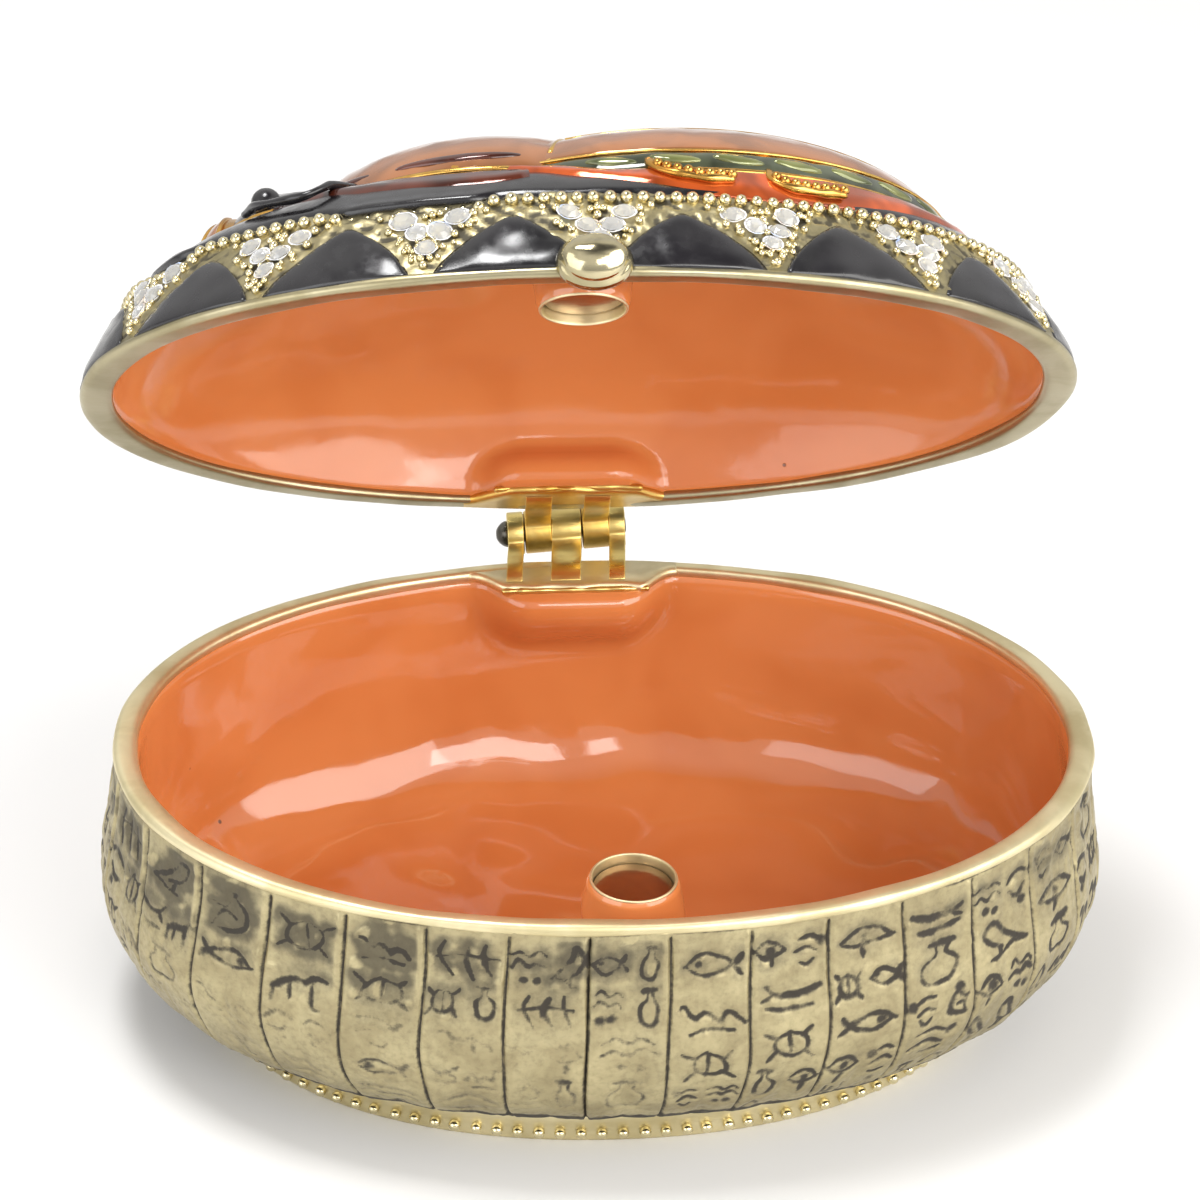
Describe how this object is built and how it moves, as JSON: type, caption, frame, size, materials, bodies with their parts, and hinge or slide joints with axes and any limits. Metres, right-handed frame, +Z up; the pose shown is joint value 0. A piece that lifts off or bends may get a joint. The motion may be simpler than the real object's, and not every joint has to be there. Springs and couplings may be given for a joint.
{
  "type": "trinket box",
  "caption": "Oval cast-metal trinket box with a hinged, domed lid in the form of a scarab beetle, a sign-covered wall, enamelled hollow insides and a magnet catch.",
  "frame": {"origin": "centre of the flat underside", "axes": "+X along the box, towards the beetle's tail; -Y is the front with the thumb knob; +Z up"},
  "size_m": [0.0777, 0.0607, 0.07],
  "materials": {
    "antique_gold": "satin pale gold plate on cast zinc alloy, dark patina in the recesses",
    "black_enamel": "glossy black enamel over the cast lid",
    "orange_enamel": "glossy opaque orange enamel lining",
    "red_enamel": "glossy red-orange enamel in cells",
    "amber_enamel": "glossy brown-amber enamel on the beetle's back",
    "green_enamel": "glossy olive-green enamel in cells",
    "hinge_brass": "polished yellow gold plate",
    "pin_steel": "darkened steel pin with a domed head",
    "magnet": "nickel-plated magnet disc",
    "crystal": "clear cut-glass crystals with a light iridescent coat"
  },
  "bodies": {
    "base": {"base_bowl": "antique_gold", "hinge_base_leaf": "hinge_brass", "hinge_pin": "pin_steel", "base_magnet": "magnet"},
    "lid": {"lid_shell": "black_enamel", "hinge_lid_leaf": "hinge_brass", "lid_magnet": "magnet"}
  },
  "joints": [
    {"name": "lid_hinge", "type": "hinge", "parent": "base", "child": "lid", "pos_m": [-0.0003, 0.0309, 0.02315], "axis": [-0.9973, 0, -0.0732], "range_deg": [-47.8, 44.2]}
  ]
}
